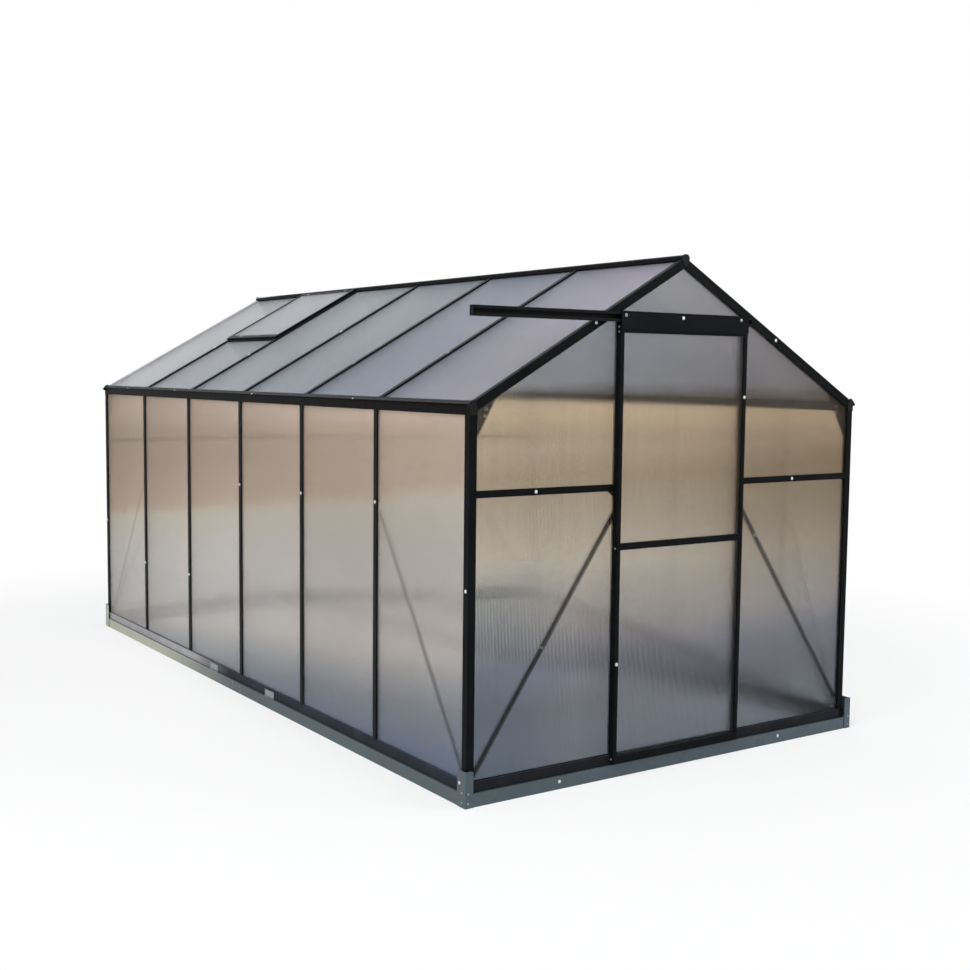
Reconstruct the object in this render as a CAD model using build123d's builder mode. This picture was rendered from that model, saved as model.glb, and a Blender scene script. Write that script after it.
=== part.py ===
"""A ridge-roofed greenhouse: black aluminium glazing bars, twin-wall panels, a galvanised base and a
sliding door hung on rollers in a channel track. Millimetres, +Z up, +X to the right of the door
gable, -Y out of the door gable. The origin is on the ground under the ridge, half way along the outline."""

import os
from math import atan2, degrees, hypot

from build123d import *

# Overall frame, measured over the outer faces of the bars
frame_width = 1900
frame_length = 3760
eave_height = 1374
ridge_rise = 537
door_bay = 611
wall_bays = 6

# Glazing sheets and the slots that hold them
panel_thickness = 6
panel_setback = 7
panel_clearance = 0.3
slot_depth = 9
edge_clearance = 0.5

# Bars of the walls and gables
frame_depth = 22
corner_post_width = 30
corner_post_edge_radius = 2
stud_width = 24
door_post_width = 24
rail_width = 24
inner_flange = 4
stem_width = 10
gable_rail_height = 1071
header_rail_drop = 23.188

# Bars of the roof
roof_bar_width = 24
roof_bar_depth = 24
rafter_height = 33
ridge_reach = 19
ridge_crest = 9
ridge_crest_half = 10
ridge_crest_bevel = 5
eave_lip_inset = 18
eave_lip_rise = 2.5
eave_overhang = 3
eave_nose_height = 2.5
eave_groove_depth = 4
eave_groove_height = 6
eave_drop = 36

# Caps on the ends of the eave beams and of the ridge beam
end_cap_thickness = 2
eave_cap_reach = 5
eave_cap_rise = 8
eave_cap_shoulder = 4
eave_cap_overhang = 13
eave_cap_nose_drop = 7
eave_cap_nose_height = 4
eave_cap_undercut = 6
ridge_cap_rise = 3
ridge_cap_half = 18
ridge_cap_shoulder = 9
ridge_cap_waist = 22
ridge_cap_drop = 44
ridge_cap_foot_half = 5
ridge_cap_radius = 6

# Galvanised base under the frame
base_overhang = 8
base_right_overhang = 35
base_height = 48
base_sheet = 3
base_foot = 40
base_joint_gap = 1
splice_length = 180
splice_thickness = 2.5
bracket_front_flange = 33
bracket_side_flange = 52
bracket_height = 128
bracket_thickness = 2.5
bracket_corner_radius = 10
clip_length = 90
clip_height = 30
clip_foot = 7
clip_thickness = 2

# Black sill on the base
sill_height = 37

# Braces and corner plates inside the glazing
brace_width = 20
brace_thickness = 3
wall_brace_foot_inset = 31
wall_brace_foot_rise = 29
wall_brace_head_height = 959
gable_brace_foot_inset = 31
left_brace_foot_rise = 39
left_brace_head_height = 973
right_brace_foot_rise = 86
right_brace_head_height = 1014
gusset_thickness = 3
gusset_drop = 102
gusset_reach = 138

# Roof vent, in the second bay from the rear of the left slope
vent_length = 526
vent_bar_width = 16
vent_foot_width = 26
vent_depth = 12
vent_lap = 11
vent_trimmer_width = 34
vent_trimmer_lap = 8

# Sliding door and its track
door_width = 630
door_offset = -9
door_gap = 7
door_sill_gap = 8
door_depth = 18
door_stile_width = 16
door_rail_width = 24
door_foot_width = 30
door_head_width = 30
door_rail_height = 857
door_header_height = 66
door_header_thickness = 4
door_header_rise = 2
track_drop = 18
track_height = 36
track_depth = 20
track_wall = 3
track_lip = 7
track_lip_thickness = 2.5
track_left_overhang = 5
track_right_overrun = 16
track_cap_thickness = 3
door_track_gap = 9
roller_radius = 12
roller_width = 8
roller_chamfer = 1
roller_back_gap = 3
roller_running_gap = 0.3
roller_inset = 70
axle_radius = 4

# Values that follow from the sizes above
half_width = frame_width / 2
half_length = frame_length / 2
slope_length = hypot(half_width, ridge_rise)
slope_cos = half_width / slope_length
slope_sin = ridge_rise / slope_length
ridge_height = eave_height + ridge_rise
wall_bay = (frame_length - corner_post_width) / wall_bays
slot_near = panel_setback - panel_clearance
slot_far = panel_setback + panel_thickness + panel_clearance
panel_bite = slot_depth - edge_clearance
sill_top = base_height + sill_height
eave_bottom = eave_height - eave_drop
door_front_out = door_gap + door_depth + door_header_thickness
base_out = base_overhang + bracket_thickness
mid_y = (door_front_out - base_out) / 2
front_y = mid_y - half_length
rear_y = mid_y + half_length
eave_lip_run = (half_width - eave_lip_inset) / slope_cos
eave_nose_run = (half_width + eave_overhang - eave_lip_rise * slope_sin) / slope_cos
eave_cap_run = (half_width - eave_cap_shoulder - eave_cap_rise * slope_sin) / slope_cos
ridge_crest_top = ridge_height + ridge_crest
rafter_drop = rafter_height / slope_cos
doorway_half = (door_bay - door_post_width) / 2
doorway_top = ridge_height - rafter_drop - doorway_half * slope_sin / slope_cos
header_rail_height = doorway_top - header_rail_drop
track_bottom = header_rail_height - track_drop
roof_run = eave_lip_run - ridge_reach
stud_places = [(n - (wall_bays - 2) / 2) * wall_bay for n in range(wall_bays - 1)]
bay_places = [(n - (wall_bays - 1) / 2) * wall_bay for n in range(wall_bays)]
post_places = [-door_bay / 2, door_bay / 2]
mid_plane = Plane(origin=(0, mid_y, 0), z_dir=(0, 1, 0))

os.makedirs("parts", exist_ok=True)


def roof_point(run, depth):
    """Place in the cross section, on the right slope: run down from the apex, depth under the roof face."""
    return (
        run * slope_cos - depth * slope_sin,
        ridge_height - run * slope_sin - depth * slope_cos,
    )


def slope_place(run, depth, y):
    """The same place as a point in space, on the left slope."""
    x, z = roof_point(run, depth)
    return (-x, y, z)


def mirrored(points):
    """An outline's points followed by their mirror images, in order round the outline."""
    return points + [(-x, z) for x, z in reversed(points)]


def outline(points):
    """A closed face from its corner points."""
    with BuildSketch() as face:
        with BuildLine():
            Polyline(*points, close=True)
        make_face()
    return face.sketch


def glazing_section(width, depth):
    """Section of a glazing bar: outer face, a slot on each side, inner flange and stem."""
    half = width / 2
    neck = half - slot_depth
    flange = slot_far + inner_flange
    stem = stem_width / 2
    side = [
        (half, 0),
        (half, slot_near),
        (neck, slot_near),
        (neck, slot_far),
        (half, slot_far),
        (half, flange),
        (stem, flange),
        (stem, depth),
    ]
    return outline(side + [(-a, d) for a, d in reversed(side)])


def edge_section(width, depth):
    """Section of a bar that holds a sheet on one side only, at the middle of its depth."""
    half = width / 2
    near = (depth - panel_thickness) / 2 - panel_clearance
    far = (depth + panel_thickness) / 2 + panel_clearance
    return outline(
        [
            (-half, 0),
            (half, 0),
            (half, near),
            (half - slot_depth, near),
            (half - slot_depth, far),
            (half, far),
            (half, depth),
            (-half, depth),
        ]
    )


def middle_section(width, depth):
    """Section of a bar that holds a sheet on both sides, at the middle of its depth."""
    half = width / 2
    near = (depth - panel_thickness) / 2 - panel_clearance
    far = (depth + panel_thickness) / 2 + panel_clearance
    neck = half - slot_depth
    side = [(half, 0), (half, near), (neck, near), (neck, far), (half, far), (half, depth)]
    return outline(side + [(-a, d) for a, d in reversed(side)])


def bar_plane(origin, depth, along):
    """Sketch plane for a bar's section: its Y is the depth and its normal runs along the bar."""
    depth = Vector(*depth)
    along = Vector(*along)
    return Plane(origin=origin, x_dir=depth.cross(along), z_dir=along)


# Sections that several bars share
stud_section = glazing_section(stud_width, frame_depth)
door_post_section = glazing_section(door_post_width, frame_depth)
rail_section = glazing_section(rail_width, frame_depth)
roof_bar_section = glazing_section(roof_bar_width, roof_bar_depth)

sill_section = outline(
    [
        (0, 0),
        (frame_depth, 0),
        (frame_depth, sill_height),
        (slot_far, sill_height),
        (slot_far, sill_height - slot_depth),
        (slot_near, sill_height - slot_depth),
        (slot_near, sill_height),
        (0, sill_height),
    ]
)

rafter_section = outline(
    [
        (0, 0),
        (frame_depth, 0),
        (frame_depth, slot_near),
        (frame_depth - slot_depth, slot_near),
        (frame_depth - slot_depth, slot_far),
        (frame_depth, slot_far),
        (frame_depth, rafter_height),
        (slot_far, rafter_height),
        (slot_far, rafter_height - slot_depth),
        (slot_near, rafter_height - slot_depth),
        (slot_near, rafter_height),
        (0, rafter_height),
    ]
)

nose_x, nose_z = roof_point(eave_nose_run, -eave_lip_rise)
nose_low = nose_z - eave_nose_height
eave_inner_x, eave_inner_z = roof_point(eave_lip_run, roof_bar_depth)
eave_outline = [
    roof_point(eave_lip_run, -eave_lip_rise),
    (nose_x, nose_z),
    (nose_x, nose_low),
    (half_width - eave_groove_depth, nose_low),
    (half_width - eave_groove_depth, nose_low - eave_groove_height),
    (half_width, nose_low - eave_groove_height),
    (half_width, eave_bottom),
    (half_width - slot_near, eave_bottom),
    (half_width - slot_near, eave_bottom + slot_depth),
    (half_width - slot_far, eave_bottom + slot_depth),
    (half_width - slot_far, eave_bottom),
    (eave_inner_x, eave_bottom),
    (eave_inner_x, eave_inner_z),
    roof_point(eave_lip_run, slot_far),
    roof_point(eave_lip_run + slot_depth, slot_far),
    roof_point(eave_lip_run + slot_depth, slot_near),
    roof_point(eave_lip_run, slot_near),
]
eave_cap_nose = eave_height - eave_cap_nose_drop
eave_cap_outline = [
    roof_point(eave_lip_run - eave_cap_reach, 0),
    roof_point(eave_lip_run, -eave_cap_rise),
    roof_point(eave_cap_run, -eave_cap_rise),
    (half_width + eave_cap_overhang, eave_cap_nose),
    (half_width + eave_cap_overhang, eave_cap_nose - eave_cap_nose_height),
    (half_width, eave_cap_nose - eave_cap_nose_height - eave_cap_undercut),
    (half_width, eave_bottom),
    (eave_inner_x, eave_bottom),
    (eave_inner_x, eave_inner_z),
]
ridge_inner_x, ridge_bottom = roof_point(ridge_reach, roof_bar_depth)
ridge_face_x, ridge_face_z = roof_point(ridge_reach, 0)
ridge_side = [
    (ridge_crest_half, ridge_crest_top),
    (ridge_face_x, ridge_crest_top - ridge_crest_bevel),
    (ridge_face_x, ridge_face_z),
    roof_point(ridge_reach, slot_near),
    roof_point(ridge_reach - slot_depth, slot_near),
    roof_point(ridge_reach - slot_depth, slot_far),
    roof_point(ridge_reach, slot_far),
    (ridge_inner_x, ridge_bottom),
]
ridge_cap_top = ridge_crest_top + ridge_cap_rise
ridge_cap_side = [
    (ridge_crest_half, ridge_cap_top),
    (ridge_cap_half, ridge_cap_top - ridge_cap_shoulder),
    (ridge_cap_half, ridge_cap_top - ridge_cap_waist),
    (ridge_cap_foot_half, ridge_cap_top - ridge_cap_drop),
]
front_section_plane = Plane(origin=(0, front_y, 0), x_dir=(1, 0, 0), z_dir=(0, -1, 0))
rear_section_plane = Plane(origin=(0, rear_y, 0), x_dir=(1, 0, 0), z_dir=(0, -1, 0))

# Base rails: folded sheet with a top ledge, a web and a foot, mitred at the corners
base_left = -half_width - base_overhang
base_right = half_width + base_right_overhang
base_front = front_y - base_overhang
base_rear = rear_y + base_overhang
base_ledge = base_overhang + frame_depth
base_right_ledge = base_right_overhang + frame_depth
base_mid_plane = Plane(origin=((base_left + base_right) / 2, 0, 0), z_dir=(1, 0, 0))


def left_strip(width, right_width):
    """Plan of one mitred fold of the left base rail."""
    return outline(
        [
            (base_left, base_front),
            (base_left, base_rear),
            (base_left + width, base_rear - width),
            (base_left + width, base_front + width),
        ]
    )


def right_strip(width, right_width):
    """Plan of one mitred fold of the right base rail, which stands further out."""
    return outline(
        [
            (base_right, base_front),
            (base_right, base_rear),
            (base_right - right_width, base_rear - width),
            (base_right - right_width, base_front + width),
        ]
    )


def front_strip(width, right_width):
    """Plan of one mitred fold of the front base rail."""
    return outline(
        [
            (base_left, base_front),
            (base_right, base_front),
            (base_right - right_width, base_front + width),
            (base_left + width, base_front + width),
        ]
    )


base_folds = [
    (base_foot, base_foot, 0, base_sheet),
    (base_sheet, base_sheet, base_sheet, base_height - base_sheet),
    (base_ledge, base_right_ledge, base_height - base_sheet, base_height),
]


def base_rail(strip):
    """One base rail: its foot, web and ledge stacked on one another."""
    with BuildPart() as rail:
        for fold_width, right_width, fold_low, fold_high in base_folds:
            with BuildSketch(Plane.XY.offset(fold_low)):
                add(strip(fold_width, right_width))
            extrude(amount=fold_high - fold_low)
    return rail.part


# Each long base rail has a joint line through its web and ledge, half way along it
with BuildPart() as base_rail_left:
    add(base_rail(left_strip))
    with BuildSketch():
        with Locations((base_left + base_ledge / 2, mid_y)):
            Rectangle(base_ledge, base_joint_gap)
    extrude(amount=base_height, mode=Mode.SUBTRACT)

with BuildPart() as base_rail_right:
    add(base_rail(right_strip))
    with BuildSketch():
        with Locations((base_right - base_ledge / 2, mid_y)):
            Rectangle(base_ledge, base_joint_gap)
    extrude(amount=base_height, mode=Mode.SUBTRACT)

with BuildPart() as base_rail_front:
    add(base_rail(front_strip))

with BuildPart() as base_rail_rear:
    mirror(base_rail_front.part, about=mid_plane)

with BuildPart() as base_splice_plates:
    with BuildSketch(Plane.XY.offset(base_sheet)):
        with Locations((base_left + base_sheet + splice_thickness / 2, mid_y)):
            Rectangle(splice_thickness, splice_length)
    extrude(amount=base_height - base_sheet - base_sheet)
    mirror(about=base_mid_plane)

# Corner brackets: two flanges round each base corner, with a rounded top
bracket_left = base_left - bracket_thickness
bracket_front = base_front - bracket_thickness


def bracket_face(width):
    """Elevation of one flange, rounded at the top of its free edge."""
    with BuildSketch() as face:
        with Locations((width / 2, bracket_height / 2)):
            Rectangle(width, bracket_height)
        fillet(face.vertices().group_by(Axis.Y)[-1].sort_by(Axis.X)[-1], bracket_corner_radius)
    return face.sketch


with BuildPart() as corner_brackets:
    with BuildSketch(Plane(origin=(bracket_left, base_front, 0), x_dir=(1, 0, 0), z_dir=(0, -1, 0))):
        add(bracket_face(bracket_front_flange))
    extrude(amount=bracket_thickness)
    with BuildSketch(Plane(origin=(bracket_left, bracket_front, 0), x_dir=(0, 1, 0), z_dir=(1, 0, 0))):
        add(bracket_face(bracket_side_flange))
    extrude(amount=bracket_thickness)
    mirror(about=base_mid_plane)
    mirror(about=mid_plane)

# Sill clips: folded plates that hold the long sills to the base, in the two middle bays
clip_section = outline(
    [
        (0, 0),
        (clip_foot, 0),
        (clip_foot, clip_thickness),
        (clip_thickness, clip_thickness),
        (clip_thickness, clip_height),
        (0, clip_height),
    ]
)
with BuildPart() as sill_clips:
    for clip_place in (-wall_bay / 2, wall_bay / 2):
        with BuildSketch(
            Plane(
                origin=(-half_width, mid_y + clip_place + clip_length / 2, base_height),
                x_dir=(-1, 0, 0),
                z_dir=(0, 1, 0),
            )
        ):
            add(clip_section)
        extrude(amount=-clip_length)
    mirror(about=Plane.YZ)

# Sills: the long ones run through, the short ones fit between them
with BuildPart() as sill_left:
    with BuildSketch(Plane(origin=(-half_width, rear_y, base_height), x_dir=(1, 0, 0), z_dir=(0, -1, 0))):
        add(sill_section)
    extrude(amount=frame_length)

with BuildPart() as sill_right:
    mirror(sill_left.part, about=Plane.YZ)

with BuildPart() as sill_front:
    with BuildSketch(
        Plane(origin=(-half_width + frame_depth, front_y, base_height), x_dir=(0, 1, 0), z_dir=(1, 0, 0))
    ):
        add(sill_section)
    extrude(amount=frame_width - frame_depth - frame_depth)

with BuildPart() as sill_rear:
    mirror(sill_front.part, about=mid_plane)

# Corner posts, with one slot towards each wall and the inner corner cut back to the depth of the bars
post_length = eave_bottom - sill_top
post_notch = corner_post_width - frame_depth
with BuildPart() as corner_posts:
    with BuildSketch(Plane(origin=(-half_width, front_y, sill_top))) as post_section:
        with Locations((corner_post_width / 2, corner_post_width / 2)):
            Rectangle(corner_post_width, corner_post_width)
        fillet(
            post_section.vertices().group_by(Axis.X)[0].sort_by(Axis.Y)[0],
            corner_post_edge_radius,
        )
        with Locations((corner_post_width - slot_depth / 2, (slot_near + slot_far) / 2)):
            Rectangle(slot_depth, slot_far - slot_near, mode=Mode.SUBTRACT)
        with Locations(((slot_near + slot_far) / 2, corner_post_width - slot_depth / 2)):
            Rectangle(slot_far - slot_near, slot_depth, mode=Mode.SUBTRACT)
        with Locations((frame_depth + post_notch / 2, frame_depth + post_notch / 2)):
            Rectangle(post_notch, post_notch, mode=Mode.SUBTRACT)
    extrude(amount=post_length)
    mirror(about=Plane.YZ)
    mirror(about=mid_plane)

# Wall studs
with BuildPart() as wall_studs_left:
    with BuildSketch(bar_plane((-half_width, mid_y, sill_top), (1, 0, 0), (0, 0, 1))):
        with Locations(*[(place, 0) for place in stud_places]):
            add(stud_section)
    extrude(amount=post_length)

with BuildPart() as wall_studs_right:
    mirror(wall_studs_left.part, about=Plane.YZ)

# Gable posts, cut to the slope of the rafters that they carry
rafter_underside = [
    (-half_width, eave_height - rafter_drop),
    (0, ridge_height - rafter_drop),
    (half_width, eave_height - rafter_drop),
    (half_width, ridge_height),
    (-half_width, ridge_height),
]
with BuildPart() as door_posts:
    with BuildSketch(bar_plane((0, front_y, sill_top), (0, 1, 0), (0, 0, 1))):
        with Locations(*[(place, 0) for place in post_places]):
            add(door_post_section)
    extrude(amount=ridge_height - sill_top)
    with BuildSketch(front_section_plane):
        add(outline(rafter_underside))
    extrude(amount=-frame_depth, mode=Mode.SUBTRACT)

with BuildPart() as rear_gable_posts:
    mirror(door_posts.part, about=mid_plane)

# Eave beams, ridge beam and the caps on their ends
with BuildPart() as eave_beam_right:
    with BuildSketch(rear_section_plane):
        add(outline(eave_outline))
    extrude(amount=frame_length)

with BuildPart() as eave_beam_left:
    mirror(eave_beam_right.part, about=Plane.YZ)

with BuildPart() as ridge_beam:
    with BuildSketch(rear_section_plane):
        add(outline(mirrored(ridge_side)))
    extrude(amount=frame_length)

with BuildPart() as beam_end_caps:
    with BuildSketch(front_section_plane):
        add(outline(eave_cap_outline))
        mirror(about=Plane.YZ)
    extrude(amount=end_cap_thickness)
    with BuildSketch(front_section_plane) as ridge_cap:
        add(outline(mirrored(ridge_cap_side)))
        fillet(ridge_cap.vertices().group_by(Axis.Y)[2:], ridge_cap_radius)
    extrude(amount=end_cap_thickness)
    mirror(about=mid_plane)

# Gable rafters
with BuildPart() as gable_rafters_front:
    with BuildSketch(
        bar_plane(
            slope_place(ridge_reach, 0, front_y),
            (slope_sin, 0, -slope_cos),
            (-slope_cos, 0, -slope_sin),
        )
    ):
        add(rafter_section)
    extrude(amount=roof_run)
    mirror(about=Plane.YZ)

with BuildPart() as gable_rafters_rear:
    mirror(gable_rafters_front.part, about=mid_plane)

# Roof bars
with BuildPart() as roof_bars_left:
    with BuildSketch(
        bar_plane(
            slope_place(ridge_reach, 0, mid_y),
            (slope_sin, 0, -slope_cos),
            (-slope_cos, 0, -slope_sin),
        )
    ):
        with Locations(*[(place, 0) for place in stud_places]):
            add(roof_bar_section)
    extrude(amount=roof_run)

with BuildPart() as roof_bars_right:
    mirror(roof_bars_left.part, about=Plane.YZ)

# Gable rails
side_rail_start = door_bay / 2 + door_post_width / 2
side_rail_length = half_width - corner_post_width - side_rail_start
middle_rail_length = door_bay - door_post_width
with BuildPart() as gable_rails_front:
    with BuildSketch(bar_plane((side_rail_start, front_y, gable_rail_height), (0, 1, 0), (1, 0, 0))):
        add(rail_section)
    extrude(amount=side_rail_length)
    mirror(about=Plane.YZ)
    with BuildSketch(bar_plane((-middle_rail_length / 2, front_y, header_rail_height), (0, 1, 0), (1, 0, 0))):
        add(rail_section)
    extrude(amount=middle_rail_length)

with BuildPart() as gable_rails_rear:
    mirror(gable_rails_front.part, about=mid_plane)
    with BuildSketch(bar_plane((middle_rail_length / 2, rear_y, gable_rail_height), (0, -1, 0), (-1, 0, 0))):
        add(rail_section)
    extrude(amount=middle_rail_length)


# Braces: flat bars on the inner faces, rising from each corner to the next upright
def brace(foot, head):
    """Elevation of a brace from its foot to its head."""
    with BuildSketch() as flat:
        with Locations(((foot[0] + head[0]) / 2, (foot[1] + head[1]) / 2)):
            Rectangle(
                hypot(head[0] - foot[0], head[1] - foot[1]),
                brace_width,
                rotation=degrees(atan2(head[1] - foot[1], head[0] - foot[0])),
            )
    return flat.sketch


with BuildPart() as wall_braces:
    with BuildSketch(
        Plane(origin=(-half_width + frame_depth, front_y, 0), x_dir=(0, 1, 0), z_dir=(1, 0, 0))
    ):
        add(
            brace(
                (wall_brace_foot_inset, base_height + wall_brace_foot_rise),
                (corner_post_width / 2 + wall_bay, wall_brace_head_height),
            )
        )
    extrude(amount=brace_thickness)
    mirror(about=Plane.YZ)
    mirror(about=mid_plane)

with BuildPart() as gable_braces:
    with BuildSketch(front_section_plane.offset(-frame_depth)):
        add(
            brace(
                (-half_width + gable_brace_foot_inset, base_height + left_brace_foot_rise),
                (-door_bay / 2, left_brace_head_height),
            )
        )
        add(
            brace(
                (half_width - gable_brace_foot_inset, base_height + right_brace_foot_rise),
                (door_bay / 2, right_brace_head_height),
            )
        )
    extrude(amount=-brace_thickness)
    mirror(about=mid_plane)

# Corner plates that tie the gable rafters to the posts
gusset_head_drop = (slot_far + rafter_height) / 2 / slope_cos


def gusset_top(inset):
    """Height of a corner plate's sloped top edge at a distance in from the wall face."""
    return eave_height + inset * slope_sin / slope_cos - gusset_head_drop


with BuildPart() as eave_gussets:
    with BuildSketch(front_section_plane.offset(-frame_depth)):
        add(
            outline(
                [
                    (-half_width + corner_post_width, eave_bottom - gusset_drop),
                    (-half_width + gusset_reach, gusset_top(gusset_reach)),
                    (-half_width + corner_post_width, gusset_top(corner_post_width)),
                ]
            )
        )
    extrude(amount=-gusset_thickness)
    mirror(about=Plane.YZ)
    mirror(about=mid_plane)

# Wall panels, one to a bay
wall_panel_width = wall_bay - stud_width + panel_bite + panel_bite
wall_panel_low = sill_top - panel_bite
wall_panel_high = eave_bottom + panel_bite
end_panel_shift = (corner_post_width - stud_width) / 4
end_panel_width = wall_panel_width - end_panel_shift - end_panel_shift
with BuildPart() as wall_panels_left:
    for place in bay_places:
        end_side = (place == bay_places[0]) - (place == bay_places[-1])
        with BuildSketch(Plane(origin=(-half_width + panel_setback, mid_y, wall_panel_low))):
            with Locations((panel_thickness / 2, place + end_side * end_panel_shift)):
                Rectangle(panel_thickness, end_panel_width if end_side else wall_panel_width)
        extrude(amount=wall_panel_high - wall_panel_low)

with BuildPart() as wall_panels_right:
    mirror(wall_panels_left.part, about=Plane.YZ)

# Roof panels, with a short one under the vent
roof_panel_top = ridge_reach - panel_bite
roof_panel_foot = eave_lip_run + panel_bite
vent_foot_run = ridge_reach + vent_length
vent_trimmer_foot = vent_foot_run + vent_trimmer_lap
short_panel_top = vent_trimmer_foot - panel_bite
vent_bay = wall_bays - 2


def roof_panels(tops):
    """Sheets of the left slope, one to a bay, each from its own top edge down to the eave."""
    with BuildPart() as sheets:
        for bay, top in enumerate(tops):
            inner_half = roof_bar_width / 2 - panel_bite
            low = mid_y + bay_places[bay] - wall_bay / 2 + inner_half
            high = mid_y + bay_places[bay] + wall_bay / 2 - inner_half
            if bay == 0:
                low = front_y + frame_depth - panel_bite
            if bay == wall_bays - 1:
                high = rear_y - frame_depth + panel_bite
            with BuildSketch(
                Plane(
                    origin=slope_place(top, panel_setback, (low + high) / 2),
                    x_dir=(-slope_cos, 0, -slope_sin),
                    z_dir=(slope_sin, 0, -slope_cos),
                )
            ):
                with Locations(((roof_panel_foot - top) / 2, 0)):
                    Rectangle(roof_panel_foot - top, high - low)
            extrude(amount=panel_thickness)
    return sheets.part


left_tops = [short_panel_top if bay == vent_bay else roof_panel_top for bay in range(wall_bays)]
right_tops = [roof_panel_top for bay in range(wall_bays)]
left_sheets = roof_panels(left_tops)
right_sheets = roof_panels(right_tops)

with BuildPart() as roof_panels_left:
    add(left_sheets)

with BuildPart() as roof_panels_right:
    mirror(right_sheets, about=Plane.YZ)

# Gable panels
panel_inner_x = door_bay / 2 + door_post_width / 2 - panel_bite
panel_outer_x = half_width - corner_post_width + panel_bite
panel_eave_x = eave_inner_x - edge_clearance
middle_panel_x = door_bay / 2 - door_post_width / 2 + panel_bite
rail_low = gable_rail_height - rail_width / 2 + panel_bite
rail_high = gable_rail_height + rail_width / 2 - panel_bite
header_low = header_rail_height - rail_width / 2 + panel_bite
header_high = header_rail_height + rail_width / 2 - panel_bite
panel_slope_drop = (rafter_height - panel_bite) / slope_cos
peak_panel_top = ridge_bottom - edge_clearance
peak_panel_x = (ridge_height - panel_slope_drop - peak_panel_top) * slope_cos / slope_sin


def slope_edge(x):
    """Height of a gable panel's sloped top edge at a distance from the middle."""
    return ridge_height - panel_slope_drop - x * slope_sin / slope_cos


panel_sill_x = half_width - frame_depth - edge_clearance
side_panel_lower = [
    (panel_inner_x, wall_panel_low),
    (panel_sill_x, wall_panel_low),
    (panel_sill_x, sill_top + edge_clearance),
    (panel_outer_x, sill_top + edge_clearance),
    (panel_outer_x, rail_low),
    (panel_inner_x, rail_low),
]
side_panel_upper = [
    (panel_inner_x, rail_high),
    (panel_outer_x, rail_high),
    (panel_outer_x, eave_bottom - edge_clearance),
    (panel_eave_x, eave_bottom - edge_clearance),
    (panel_eave_x, slope_edge(panel_eave_x)),
    (panel_inner_x, slope_edge(panel_inner_x)),
]
peak_panel = mirrored(
    [
        (middle_panel_x, header_high),
        (middle_panel_x, slope_edge(middle_panel_x)),
        (peak_panel_x, peak_panel_top),
    ]
)
with BuildPart() as gable_panels_front:
    with BuildSketch(front_section_plane.offset(-panel_setback)):
        add(outline(side_panel_lower))
        add(outline(side_panel_upper))
        mirror(about=Plane.YZ)
        add(outline(peak_panel))
    extrude(amount=-panel_thickness)

with BuildPart() as gable_panels_rear:
    mirror(gable_panels_front.part, about=mid_plane)
    with BuildSketch(rear_section_plane.offset(panel_setback)):
        with Locations((0, (wall_panel_low + rail_low) / 2)):
            Rectangle(middle_panel_x + middle_panel_x, rail_low - wall_panel_low)
        with Locations((0, (rail_high + header_low) / 2)):
            Rectangle(middle_panel_x + middle_panel_x, header_low - rail_high)
    extrude(amount=panel_thickness)

# Roof vent: a leaf that lies on two roof bars and on a trimmer bar
vent_y = mid_y + bay_places[vent_bay]
vent_half = wall_bay / 2 - roof_bar_width / 2 + vent_lap
vent_head_run = ridge_reach + panel_clearance
vent_run = vent_foot_run - vent_head_run
left_inward = (slope_sin, 0, -slope_cos)
left_down = (-slope_cos, 0, -slope_sin)
left_up = (slope_cos, 0, slope_sin)

with BuildPart() as vent_stiles:
    with BuildSketch(bar_plane(slope_place(vent_head_run, -vent_depth, vent_y), left_inward, left_down)):
        with Locations((-vent_half + vent_bar_width / 2, 0)):
            add(edge_section(vent_bar_width, vent_depth))
        mirror(about=Plane.YZ)
    extrude(amount=vent_run)

vent_rail_length = vent_half + vent_half - vent_bar_width - vent_bar_width
vent_head_middle = vent_head_run + vent_bar_width / 2
vent_foot_middle = vent_foot_run - vent_foot_width / 2
vent_rail_start = vent_y - vent_rail_length / 2
vent_rail_end = vent_y + vent_rail_length / 2
with BuildPart() as vent_rails:
    with BuildSketch(
        bar_plane(slope_place(vent_head_middle, -vent_depth, vent_rail_end), left_inward, (0, -1, 0))
    ):
        add(edge_section(vent_bar_width, vent_depth))
    extrude(amount=vent_rail_length)
    with BuildSketch(
        bar_plane(slope_place(vent_foot_middle, -vent_depth, vent_rail_start), left_inward, (0, 1, 0))
    ):
        add(edge_section(vent_foot_width, vent_depth))
    extrude(amount=vent_rail_length)

vent_sheet_depth = -(vent_depth + panel_thickness) / 2
vent_sheet_head = vent_head_run + vent_bar_width - panel_bite
vent_sheet_foot = vent_foot_run - vent_foot_width + panel_bite
with BuildPart() as vent_panel:
    with BuildSketch(
        Plane(
            origin=slope_place(vent_sheet_head, vent_sheet_depth, vent_y),
            x_dir=left_down,
            z_dir=left_inward,
        )
    ):
        with Locations(((vent_sheet_foot - vent_sheet_head) / 2, 0)):
            Rectangle(vent_sheet_foot - vent_sheet_head, vent_rail_length + panel_bite + panel_bite)
    extrude(amount=panel_thickness)

trimmer_section = outline(
    [
        (0, 0),
        (vent_trimmer_width, 0),
        (vent_trimmer_width, roof_bar_depth),
        (0, roof_bar_depth),
        (0, slot_far),
        (slot_depth, slot_far),
        (slot_depth, slot_near),
        (0, slot_near),
    ]
)
trimmer_length = wall_bay - roof_bar_width
with BuildPart() as vent_trimmer:
    with BuildSketch(
        bar_plane(
            slope_place(vent_trimmer_foot, 0, vent_y - trimmer_length / 2), left_inward, (0, 1, 0)
        )
    ):
        add(trimmer_section)
    extrude(amount=trimmer_length)

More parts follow.
